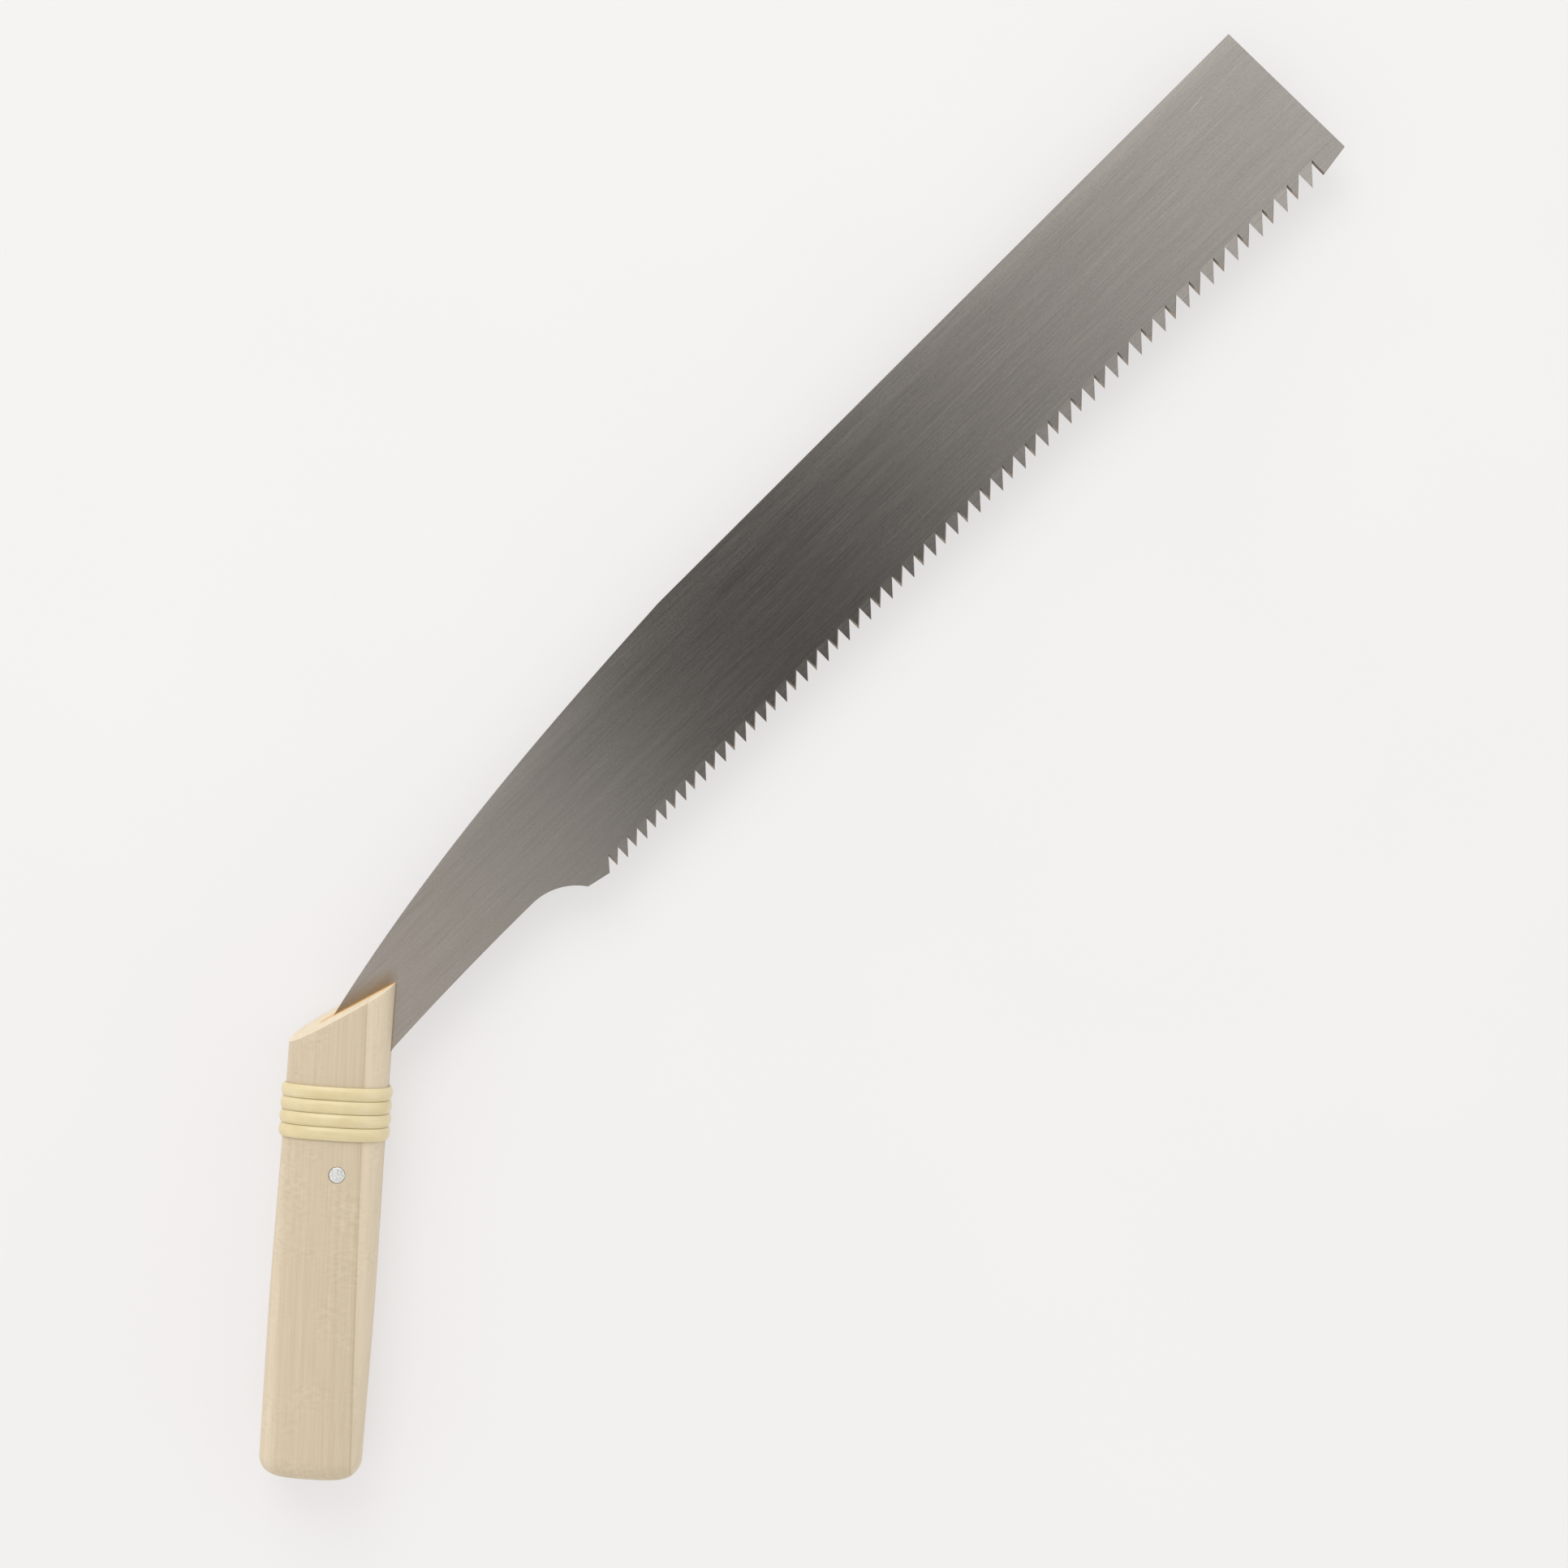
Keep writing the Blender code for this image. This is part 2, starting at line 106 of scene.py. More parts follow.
def finishMesh(name, bm, material, smoothUnder=30):
    mesh = bpy.data.meshes.new(name)
    bm.to_mesh(mesh)
    bm.free()
    piece = bpy.data.objects.new(name, mesh)
    scene.collection.objects.link(piece)
    mesh.materials.append(material)
    mesh.shade_smooth()
    mesh.set_sharp_from_angle(angle=radians(smoothUnder))
    return piece


def plain(piece):
    # Bakes the modifiers into the mesh
    bpy.context.view_layer.update()
    graph = bpy.context.evaluated_depsgraph_get()
    baked = bpy.data.meshes.new_from_object(piece.evaluated_get(graph))
    piece.modifiers.clear()
    piece.data = baked


def place(piece, matrix):
    piece.data.transform(matrix)


def superOval(turn, halfWidth, halfThickness, power):
    c, s = cos(turn), sin(turn)
    x = halfWidth * abs(c) ** (2 / power) * (1 if c > 0 else -1)
    y = halfThickness * abs(s) ** (2 / power) * (1 if s > 0 else -1)
    return x, y


# Where the grip lies: its axis starts at the middle of the binding and runs to the butt
gripFrame = {
    "angle": -138.5,
    "rivetAlong": 18.1 * mm,
    "rivetAcross": 3.1 * mm,
}
gripTurn = Matrix.Rotation(radians(gripFrame["angle"]), 4, "Z")
rivetLow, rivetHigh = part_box("rivet_pin")
plateLow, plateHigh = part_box("saw_blade")
plateMiddle = (plateLow.z + plateHigh.z) / 2
rivetPlace = (rivetLow + rivetHigh) / 2
rivetPlace.z = plateMiddle
gripPlace = rivetPlace - gripTurn @ Vector((gripFrame["rivetAlong"], gripFrame["rivetAcross"], 0))
gripMatrix = Matrix.Translation(gripPlace) @ gripTurn
print("frame read")


# Saw plate: carbon steel, ground and brushed lengthwise, its gullets filed and bare; painted reflections
# darken the filed walls and brown the plate beside the grip

plateLook = {
    "steel": "a39b94",
    "bevelDarkReflection": "857a70",
    "lineWidth": 0.35 * mm,
    "lineLength": 24 * mm,
    "bandWidth": 2.4 * mm,
    "bandLength": 110 * mm,
    "speckleScale": 1600.0,  # specks about 0.6 mm across
    "roughness": 0.21,
    "roughnessSpread": 0.02,
    "anisotropy": 0.83,
    "edgeRounding": 0.08 * mm,
    "gulletHeight": 9 * mm,
    "gulletStart": -50 * mm,
    "backSlope": 0.029,
    "backInset": 7.5 * mm,
    "backBand": 5.5 * mm,
    "backGain": 1.12,
    "toothInset": 8 * mm,
    "toothBand": 24 * mm,
    "toothGain": 1.1,
    "woodReflection": "e5c8a2",
    "woodReflectionReach": 5.2 * mm,
    "woodReflectionFront": (-2.5 * mm, 0.8 * mm),
    "slotReflection": "e0ab62",
    "slotReflectionReach": (0.1 * mm, 0.4 * mm),
    "slotReflectionStrength": 0.35,
    "scratchMiddle": (231.3 * mm, 54.5 * mm),
    "scratchAngle": 5.8,
    "scratchHalf": (4.2 * mm, 0.09 * mm),
    "scratchGain": 0.55,
}


def scratchMask(tree, spot):
    # One short bright scratch near the back of the toe
    look = plateLook
    along, across = look["scratchHalf"]
    laid = addNode(
        tree, "ShaderNodeMapping", {"vector_type": "TEXTURE"}, at0=(spot, "Object"),
        at1=(*look["scratchMiddle"], 0), at2=(0, 0, radians(look["scratchAngle"])), at3=(along, across, 1),
    )
    parts = addNode(tree, "ShaderNodeSeparateXYZ", at0=(laid, 0))
    flat = addNode(tree, "ShaderNodeCombineXYZ", at0=(parts, 0), at1=(parts, 1))
    reach = addNode(tree, "ShaderNodeVectorMath", {"operation": "LENGTH"}, at0=(flat, 0))
    return addNode(
        tree, "ShaderNodeMapRange", at0=(reach, "Value"), at1=0.6, at2=1.0, at3=look["scratchGain"], at4=0.0
    )


def edgeGlow(tree, spot):
    # The steel is brighter along its back, in a band that slants towards the toe, and beside the teeth
    look = plateLook
    backEdge = plateHigh.y - look["backInset"]
    parts = addNode(tree, "ShaderNodeSeparateXYZ", at0=(spot, "Object"))
    backLine = addNode(
        tree, "ShaderNodeMath", multiplyAdd, at0=(parts, 0), at1=look["backSlope"], at2=0.0
    )
    inward = addNode(tree, "ShaderNodeMath", minus, at0=(parts, 1), at1=(backLine, 0))
    backGlow = addNode(
        tree, "ShaderNodeMapRange", smoothStep, at0=(inward, 0),
        at1=backEdge - look["backBand"], at2=backEdge, at3=1.0, at4=look["backGain"],
    )
    toothGlow = addNode(
        tree, "ShaderNodeMapRange", smoothStep, at0=(parts, 1), at1=plateLow.y + look["toothInset"],
        at2=plateLow.y + look["toothBand"], at3=look["toothGain"], at4=1.0,
    )
    return addNode(tree, "ShaderNodeMath", multiply, at0=(backGlow, 0), at1=(toothGlow, 0))


def paintedWoodReflection(tree, spot, steel):
    # Painted reflection: the plate is painted brown where it leaves the wood, standing in for the wood
    # reflected in the steel
    look = plateLook
    outward = gripTurn @ gripEndNormal().to_4d()
    sideways = gripTurn @ Vector((0, 1, 0))
    inner, outer = look["woodReflectionFront"]
    slotReflectionStart, slotReflectionEnd = look["slotReflectionReach"]
    fromEnd = addNode(
        tree, "ShaderNodeVectorMath", minus, at0=(spot, "Object"), at1=tuple(gripEndFront())
    )
    reach = addNode(
        tree, "ShaderNodeVectorMath", {"operation": "DOT_PRODUCT"}, at0=(fromEnd, 0),
        at1=(outward.x, outward.y, 0),
    )
    nearEnd = addNode(
        tree, "ShaderNodeMapRange", at0=(reach, "Value"), at1=0.0, at2=look["woodReflectionReach"], at3=1.0, at4=0.0
    )
    pastFront = addNode(
        tree, "ShaderNodeVectorMath", {"operation": "DOT_PRODUCT"}, at0=(fromEnd, 0), at1=tuple(sideways)
    )
    behindFront = addNode(
        tree, "ShaderNodeMapRange", at0=(pastFront, "Value"), at1=inner, at2=outer, at3=1.0, at4=0.0
    )
    woodReflectionShare = addNode(tree, "ShaderNodeMath", multiply, at0=(nearEnd, 0), at1=(behindFront, 0))
    woodReflection = addNode(
        tree, "ShaderNodeMix", tint, at0=(woodReflectionShare, 0), at6=(steel, 2), at7=srgb(look["woodReflection"])
    )
    # Painted reflection: a thin orange line along the slot, standing in for the lit wood reflected in the
    # plate
    slotReflectionLine = addNode(
        tree, "ShaderNodeMapRange", at0=(reach, "Value"), at1=slotReflectionStart, at2=slotReflectionEnd,
        at3=look["slotReflectionStrength"], at4=0.0,
    )
    slotReflectionShare = addNode(tree, "ShaderNodeMath", multiply, at0=(slotReflectionLine, 0), at1=(behindFront, 0))
    return addNode(
        tree, "ShaderNodeMix", blend, at0=(slotReflectionShare, 0), at6=(woodReflection, 2), at7=srgb(look["slotReflection"])
    )


def brushedSteel():
    # Brushed carbon steel: its highlights are drawn out across the brushing, with fine lines in them
    made, tree = newMaterial("brushedCarbonSteel")
    look = plateLook
    spot = addNode(tree, "ShaderNodeTexCoord")
    # Lines from the grinding belt, drawn wider than the real 0.1 mm so that they show
    lineLay = addNode(
        tree, "ShaderNodeMapping", at0=(spot, "Object"),
        at3=(1 / look["lineLength"], 1 / look["lineWidth"], 1 / look["lineWidth"]),
    )
    lines = addNode(tree, "ShaderNodeTexNoise", at0=(lineLay, 0), Scale=1.0, Detail=4.0, Roughness=0.7)
    # Broader bands where the belt bore harder, and fine specks
    bandLay = addNode(
        tree, "ShaderNodeMapping", at0=(spot, "Object"),
        at3=(1 / look["bandLength"], 1 / look["bandWidth"], 1 / look["bandWidth"]),
    )
    bands = addNode(tree, "ShaderNodeTexNoise", at0=(bandLay, 0), Scale=1.0, Detail=3.0, Roughness=0.5)
    speckle = addNode(
        tree, "ShaderNodeTexNoise", at0=(spot, "Object"), Scale=look["speckleScale"], Detail=1.0
    )
    marks = addNode(tree, "ShaderNodeMath", multiplyAdd, at0=(bands, 0), at1=0.25, at2=(lines, 0))
    grain = addNode(tree, "ShaderNodeMath", multiplyAdd, at0=(speckle, 0), at1=0.35, at2=(marks, 0))
    shine = addNode(tree, "ShaderNodeMapRange", at0=(grain, 0), at1=0.55, at2=1.05, at3=0.88, at4=1.12)
    edges = edgeGlow(tree, spot)
    scratch = scratchMask(tree, spot)
    lit = addNode(tree, "ShaderNodeMath", multiply, at0=(shine, 0), at1=(edges, 0))
    scratched = addNode(tree, "ShaderNodeMath", {"operation": "ADD"}, at0=(lit, 0), at1=(scratch, 0))
    filed = addNode(tree, "ShaderNodeAttribute", {"attribute_name": "filedEdge"})
    # Painted reflection: the filed walls are painted darker, standing in for the dark surroundings they
    # reflect
    steelWithBevelReflection = addNode(
        tree, "ShaderNodeMix", blend, at0=(filed, "Fac"), at6=srgb(look["steel"]),
        at7=srgb(look["bevelDarkReflection"]),
    )
    steel = addNode(tree, "ShaderNodeMix", tint, at0=1.0, at6=(steelWithBevelReflection, 2), at7=(scratched, 0))
    steel.clamp_result = False
    colour = paintedWoodReflection(tree, spot, steel)
    spread = look["roughnessSpread"]
    polish = addNode(
        tree, "ShaderNodeMapRange", at0=(grain, 0), at1=0.5, at2=1.2,
        at3=look["roughness"] - spread, at4=look["roughness"] + spread,
    )
    relief = addNode(tree, "ShaderNodeBump", Strength=0.10, Distance=0.01 * mm, Height=(lines, 0))
    # The tangent lies across the brushing, because a highlight spreads across the lines
    across = addNode(tree, "ShaderNodeTangent", {"direction_type": "UV_MAP", "uv_map": "acrossBrushing"})
    shader = addNode(
        tree, "ShaderNodeBsdfPrincipled",
        Base_Color=(colour, 2), Metallic=1.0, Roughness=(polish, 0), Normal=(relief, 0), Tangent=(across, 0),
        Anisotropic=look["anisotropy"],
    )
    closeMaterial(tree, shader)
    return made


def makePlate():
    look = plateLook
    gulletTop = plateLow.y + look["gulletHeight"]
    bm = bmesh.new()
    bm.from_mesh(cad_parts["saw_blade"].data)
    bmesh.ops.remove_doubles(bm, verts=bm.verts, dist=1e-6)
    bmesh.ops.dissolve_limit(bm, angle_limit=radians(0.3), verts=bm.verts, edges=bm.edges)
    flat = [f for f in bm.faces if abs(f.normal.z) > 0.9999 and f.calc_area() > 1e-3]
    # The rims of the two flat sides, away from the sharpened gullets
    rims = []
    for face in flat:
        for edge in face.edges:
            other = [f for f in edge.link_faces if f is not face]
            upright = other and abs(other[0].normal.z) < 0.05
            gullet = all(v.co.y < gulletTop and v.co.x > look["gulletStart"] for v in edge.verts)
            if upright and not gullet:
                rims.append(edge)
    bmesh.ops.bevel(
        bm, geom=list(set(rims)), offset=look["edgeRounding"], segments=1, affect="EDGES", clamp_overlap=True
    )
    uv = bm.loops.layers.uv.new("acrossBrushing")
    edgeTone = bm.faces.layers.float.new("filedEdge")
    for face in bm.faces:
        for loop in face.loops:
            # One unit of the map for each 100 mm
            loop[uv].uv = (loop.vert.co.y * 10, -loop.vert.co.x * 10)
        # The slanted walls that the file leaves between the teeth
        face[edgeTone] = 1.0 if 0.05 < abs(face.normal.z) < 0.9 else 0.0
    piece = finishMesh("sawPlate", bm, brushedSteel(), smoothUnder=25)
    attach(piece, "root")
    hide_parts("saw_blade")
    print("saw plate:", len(piece.data.polygons), "faces")


# Grip: bare pale softwood, planed and cut on a slant

gripShape = {
    "width": 30.5 * mm,
    "thickness": 23 * mm,
    "swell": 0.8 * mm,
    "length": 110 * mm,
    "power": 2.6,
    "buttRounding": 6 * mm,
    "endReach": 39.8 * mm,
    "endSlant": 32.3,
    "endTurn": 9,
    "kerfWidth": 1.15 * mm,
    "kerfBack": 6.3 * mm,
    "kerfEnd": 31.3 * mm,
    "edgeRounding": 0.15 * mm,
    "rimRounding": 0.6 * mm,
    "rimSteps": 3,
    "softenOver": 38,
    "sharpOver": 32,
    "aroundSteps": 160,
    "alongSteps": 90,
    "buttSteps": 12,
    "growthRing": 1.7 * mm,
    "ringWander": 1.6 * mm,
    "wanderScale": (7.0, 60.0, 60.0),  # one bend in about 140 mm
    "ringLean": 0.45,
    "ringTone": (0.970, 1.025),
    "clearRing": 9.7 * mm,
    "clearRingHalf": 0.45 * mm,
    "clearRingTone": 0.925,
    "clearRingWander": 0.7 * mm,
    "frontPaleAndLit": 1.085,
    "backRounding": (-15.2 * mm, -12.6 * mm),
    "backHighlight": (1.06, 0.975),
    "fibreScale": (60.0, 2500.0, 2500.0),  # fibres 17 mm long and 0.4 mm wide
    "fibreTone": (0.965, 1.03),
    "rippleScale": (900.0, 420.0, 420.0),  # ripples 1.1 mm wide and 2.4 mm long
    "ripplePatchScale": 75.0,  # patches about 13 mm across
    "rippleAngle": 38,
    "rippleTone": 0.04,
    "grainLean": -1.9,
    "earlyWood": "ccbda5",
    "lateWood": "ae9c80",
    "sawnWoodAndLight": "d9caaf",
    "sawMarkScale": (0.0, 1400.0, 110.0),  # marks 0.7 mm apart and 9 mm long
    "sawMarkTone": (0.95, 1.03),
    "slotBounceLight": "d89c38",
    "bounceStart": 0.8 * mm,
    "bounceReach": 3.2 * mm,
    "bounceStrength": 0.68,
}


def gripHalves(along):
    share = min(max(along / gripShape["length"], 0), 1)
    extra = gripShape["swell"] / 2 * (1 - cos(2 * pi * share)) / 2
    return gripShape["width"] / 2 + extra, gripShape["thickness"] / 2 + extra


def ringTones(tree, lie, parts):
    # Growth rings cut nearly square, so they run down the stick as faint lines of uneven spacing
    look = gripShape
    dark, pale = look["ringTone"]
    wander = addNode(tree, "ShaderNodeMapping", at0=(lie, 0), at3=look["wanderScale"])
    waver = addNode(tree, "ShaderNodeTexNoise", at0=(wander, 0), Scale=1.0, Detail=2.0)
    lean = addNode(
        tree, "ShaderNodeMath", multiplyAdd, at0=(parts, 2), at1=look["ringLean"], at2=(parts, 1)
    )
    bent = addNode(
        tree, "ShaderNodeMath", multiplyAdd, at0=(waver, 0), at1=look["ringWander"], at2=(lean, 0)
    )
    count = addNode(tree, "ShaderNodeMath", multiply, at0=(bent, 0), at1=1 / look["growthRing"])
    ringLay = addNode(tree, "ShaderNodeCombineXYZ", at1=(count, 0))
    rings = addNode(tree, "ShaderNodeTexNoise", at0=(ringLay, 0), Scale=1.0, Detail=3.0, Roughness=0.6)
    ringTone = addNode(
        tree, "ShaderNodeMapRange", at0=(rings, 0), at1=0.32, at2=0.68, at3=dark, at4=pale
    )
    # One clear ring edge; the wood in front of it is paler, partly its own tone and partly painted light on
    # the stick's front side
    front = addNode(
        tree, "ShaderNodeMath", multiplyAdd, at0=(waver, 0), at1=look["clearRingWander"], at2=(parts, 1)
    )
    away = addNode(tree, "ShaderNodeMath", minus, at0=(front, 0), at1=look["clearRing"])
    near = addNode(tree, "ShaderNodeMath", absolute, at0=(away, 0))
    ringEdge = addNode(
        tree, "ShaderNodeMapRange", at0=(near, 0), at1=0.1 * mm, at2=look["clearRingHalf"],
        at3=look["clearRingTone"], at4=1.0,
    )
    paler = addNode(
        tree, "ShaderNodeMapRange", at0=(away, 0), at1=-0.2 * mm, at2=0.4 * mm, at3=1.0,
        at4=look["frontPaleAndLit"],
    )
    return ringTone, ringEdge, paler


def rippleTones(tree, lie):
    # Ripple figure, aslant and only in patches
    look = gripShape
    rippleLay = addNode(
        tree, "ShaderNodeMapping", at0=(lie, 0), at2=(0, 0, radians(look["rippleAngle"])),
        at3=look["rippleScale"],
    )
    ripple = addNode(tree, "ShaderNodeTexNoise", at0=(rippleLay, 0), Scale=1.0, Detail=2.0)
    patch = addNode(
        tree, "ShaderNodeTexNoise", at0=(lie, 0), Scale=look["ripplePatchScale"], Detail=1.0
    )
    patchShare = addNode(
        tree, "ShaderNodeMapRange", at0=(patch, 0), at1=0.42, at2=0.62, at3=0.0, at4=1.0
    )
    rippleTone = addNode(
        tree, "ShaderNodeMapRange", at0=(ripple, 0), at1=0.3, at2=0.7, at3=-look["rippleTone"],
        at4=look["rippleTone"],
    )
    return addNode(tree, "ShaderNodeMath", multiplyAdd, at0=(rippleTone, 0), at1=(patchShare, 0), at2=1.0)


def sawnTones(tree, lie, tone):
    # The sawn faces are paler, partly the fresh cut's own tone and partly painted light on the slanted end,
    # with the same rings and the saw's own marks
    look = gripShape
    dark, pale = look["sawMarkTone"]
    markLay = addNode(tree, "ShaderNodeMapping", at0=(lie, 0), at3=look["sawMarkScale"])
    marks = addNode(tree, "ShaderNodeTexNoise", at0=(markLay, 0), Scale=1.0, Detail=2.0)
    markTone = addNode(
        tree, "ShaderNodeMapRange", at0=(marks, 0), at1=0.35, at2=0.65, at3=dark, at4=pale
    )
    ringContrast = addNode(
        tree, "ShaderNodeMapRange", at0=(tone, 0), at1=0.92, at2=1.08, at3=0.90, at4=1.04
    )
    endTone = addNode(tree, "ShaderNodeMath", multiply, at0=(ringContrast, 0), at1=(markTone, 0))
    return addNode(tree, "ShaderNodeMix", tint, at0=1.0, at6=srgb(look["sawnWoodAndLight"]), at7=(endTone, 0))


def paintedBounceShare(tree, parts, cut):
    # Painted bounce light: orange on the sawn end beside the slot, standing in for light thrown back from
    # the plate; kept off the slot's own walls
    look = gripShape
    fromPlate = addNode(tree, "ShaderNodeMath", absolute, at0=(parts, 2))
    slotShare = addNode(
        tree, "ShaderNodeMapRange", at0=(fromPlate, 0), at1=look["bounceStart"], at2=look["bounceReach"],
        at3=look["bounceStrength"], at4=0.0,
    )
    besideSlot = addNode(
        tree, "ShaderNodeMapRange", at0=(parts, 1), at1=-look["kerfBack"] - 0.5 * mm,
        at2=2 * mm - look["kerfBack"], at3=0.0, at4=1.0,
    )
    outside = addNode(
        tree, "ShaderNodeMath", {"operation": "GREATER_THAN"}, at0=(fromPlate, 0), at1=0.6 * mm
    )
    onEnd = addNode(tree, "ShaderNodeMath", multiply, at0=(outside, 0), at1=(cut, "Fac"))
    onCut = addNode(tree, "ShaderNodeMath", multiply, at0=(besideSlot, 0), at1=(onEnd, 0))
    return addNode(tree, "ShaderNodeMath", multiply, at0=(slotShare, 0), at1=(onCut, 0))


def bareWood():
    # Planed, unvarnished softwood: matt, with faint lines and no shine
    made, tree = newMaterial("planedSoftwood")
    look = gripShape
    spot = addNode(tree, "ShaderNodeTexCoord")
    # The stick's own lie: x runs to the butt, y to its front
    lie = addNode(
        tree, "ShaderNodeMapping", {"vector_type": "TEXTURE"}, at0=(spot, "Object"),
        at1=tuple(gripPlace), at2=(0, 0, radians(gripFrame["angle"] - look["grainLean"])),
    )
    parts = addNode(tree, "ShaderNodeSeparateXYZ", at0=(lie, 0))
    tone, ringEdge, paler = ringTones(tree, lie, parts)
    # Fibres, drawn far wider than the real ones so that they show
    dark, pale = look["fibreTone"]
    fibreLay = addNode(tree, "ShaderNodeMapping", at0=(lie, 0), at3=look["fibreScale"])
    fibres = addNode(tree, "ShaderNodeTexNoise", at0=(fibreLay, 0), Scale=1.0, Detail=4.0, Roughness=0.6)
    fibreTone = addNode(
        tree, "ShaderNodeMapRange", at0=(fibres, 0), at1=0.3, at2=0.7, at3=dark, at4=pale
    )
    # Painted highlight: the rounded back of the stick is painted paler, standing in for the light on that
    # side, and the rest a little darker
    backStart, backEnd = look["backRounding"]
    pale, dark = look["backHighlight"]
    backHighlight = addNode(
        tree, "ShaderNodeMapRange", at0=(parts, 1), at1=backStart, at2=backEnd, at3=pale, at4=dark
    )
    for layer in (ringEdge, paler, fibreTone, backHighlight, rippleTones(tree, lie)):
        tone = addNode(tree, "ShaderNodeMath", multiply, at0=(tone, 0), at1=(layer, 0))
    # Darker wood is also a little warmer
    scaled = addNode(tree, "ShaderNodeMapRange", at0=(tone, 0), at1=0.86, at2=1.08, at3=0.0, at4=1.0)
    colours = addNode(tree, "ShaderNodeValToRGB", at0=(scaled, 0))
    colours.color_ramp.elements[0].color = srgb(look["lateWood"])
    colours.color_ramp.elements[1].color = srgb(look["earlyWood"])
    cut = addNode(tree, "ShaderNodeAttribute", {"attribute_name": "sawnCut"})
    sawnLitTone = sawnTones(tree, lie, tone)
    sawn = addNode(tree, "ShaderNodeMix", blend, at0=(cut, "Fac"), at6=(colours, 0), at7=(sawnLitTone, 2))
    bounceShare = paintedBounceShare(tree, parts, cut)
    finished = addNode(
        tree, "ShaderNodeMix", blend, at0=(bounceShare, 0), at6=(sawn, 2), at7=srgb(look["slotBounceLight"])
    )
    relief = addNode(tree, "ShaderNodeBump", Strength=0.2, Distance=0.04 * mm, Height=(fibres, 0))
    shader = addNode(
        tree, "ShaderNodeBsdfPrincipled",
        Base_Color=(finished, 2), Roughness=0.6, IOR=1.45, Normal=(relief, 0),
    )
    closeMaterial(tree, shader)
    return made


def gripEndNormal():
    slant, turnUp = radians(gripShape["endSlant"]), radians(gripShape["endTurn"])
    return Matrix.Rotation(slant, 3, "Z") @ Matrix.Rotation(turnUp, 3, "Y") @ Vector((-1, 0, 0))


def gripEndFront():
    # The foremost corner of the slanted end, on the plate's middle plane
    return gripMatrix @ Vector((-gripShape["endReach"], gripShape["width"] / 2, 0))


def gripBody():
    shape = gripShape
    slant = radians(shape["endSlant"])
    normal = gripEndNormal()
    # Where the end meets the axis
    endAtAxis = shape["width"] / 2 * tan(slant) - shape["endReach"]
    straight = shape["length"] - shape["buttRounding"]
    bm = bmesh.new()
    rings = []
    turns = [2 * pi * (i + 0.5) / shape["aroundSteps"] for i in range(shape["aroundSteps"])]
    for k in range(shape["alongSteps"] + 1):
        share = k / shape["alongSteps"]
        ring = []
        for turn in turns:
            x, y = superOval(turn, shape["width"] / 2, shape["thickness"] / 2, shape["power"])
            start = endAtAxis - (normal.y * x + normal.z * y) / normal.x
            along = start + (straight - start) * share
            halfWidth, halfThickness = gripHalves(along)
            x, y = superOval(turn, halfWidth, halfThickness, shape["power"])
            ring.append(bm.verts.new((along, x, y)))
        rings.append(ring)
    for k in range(1, shape["buttSteps"] + 1):
        a = pi / 2 * k / shape["buttSteps"]
        inset = shape["buttRounding"] * (1 - cos(a))
        along = straight + shape["buttRounding"] * sin(a)
        halfWidth, halfThickness = gripHalves(along)
        ring = []
        for turn in turns:
            x, y = superOval(turn, halfWidth - inset, halfThickness - inset, shape["power"])
            ring.append(bm.verts.new((along, x, y)))
        rings.append(ring)
    for first, second in zip(rings, rings[1:]):
        for i in range(len(first)):
            j = (i + 1) % len(first)
            bm.faces.new((first[i], first[j], second[j], second[i]))
    bm.faces.new(rings[0][::-1])
    bm.faces.new(rings[-1])
    bmesh.ops.recalc_face_normals(bm, faces=bm.faces)
    return bm


def kerfBlock():
    # The cutter runs well past the wood at the slot's open end and front
    shape = gripShape
    bm = bmesh.new()
    bmesh.ops.create_cube(bm, size=1)
    size = Vector((shape["kerfEnd"] + 100 * mm, 50 * mm + shape["kerfBack"], shape["kerfWidth"]))
    bmesh.ops.scale(bm, vec=size, verts=bm.verts)
    middle = Vector((shape["kerfEnd"] - size.x / 2, size.y / 2 - shape["kerfBack"], 0))
    bmesh.ops.translate(bm, vec=middle, verts=bm.verts)
    return bm


def roundBlock(radius, low, high, steps=64):
    bm = bmesh.new()
    bmesh.ops.create_cone(
        bm, cap_ends=True, segments=steps, radius1=radius, radius2=radius, depth=high - low,
        matrix=Matrix.Translation((gripFrame["rivetAlong"], gripFrame["rivetAcross"], (low + high) / 2)),
    )
    return bm


def subtract(piece, cutterMesh, name):
    mesh = bpy.data.meshes.new(name)
    cutterMesh.to_mesh(mesh)
    cutterMesh.free()
    cutter = bpy.data.objects.new(name, mesh)
    scene.collection.objects.link(cutter)
    cut = piece.modifiers.new(name, "BOOLEAN")
    cut.operation, cut.solver, cut.object = "DIFFERENCE", "EXACT", cutter
    return cutter


def softenEdges(piece):
    # The rim of the slanted end is sanded rounder than the slot and the rivet seats
    bm = bmesh.new()
    bm.from_mesh(piece.data)
    weight = bm.edges.layers.float.new("bevel_weight_edge")
    endNormal = gripEndNormal()
    for edge in bm.edges:
        if len(edge.link_faces) == 2 and edge.calc_face_angle() > radians(gripShape["softenOver"]):
            middle = (edge.verts[0].co + edge.verts[1].co) / 2
            onEnd = any(face.normal.dot(endNormal) > 0.99 for face in edge.link_faces)
            rim = onEnd and abs(middle.z) > gripShape["kerfWidth"]
            edge[weight] = 1.0 if rim else gripShape["edgeRounding"] / gripShape["rimRounding"]
    bm.to_mesh(piece.data)
    bm.free()
    soften = piece.modifiers.new("soften", "BEVEL")
    soften.width, soften.segments = gripShape["rimRounding"], gripShape["rimSteps"]
    soften.limit_method = "WEIGHT"
    plain(piece)


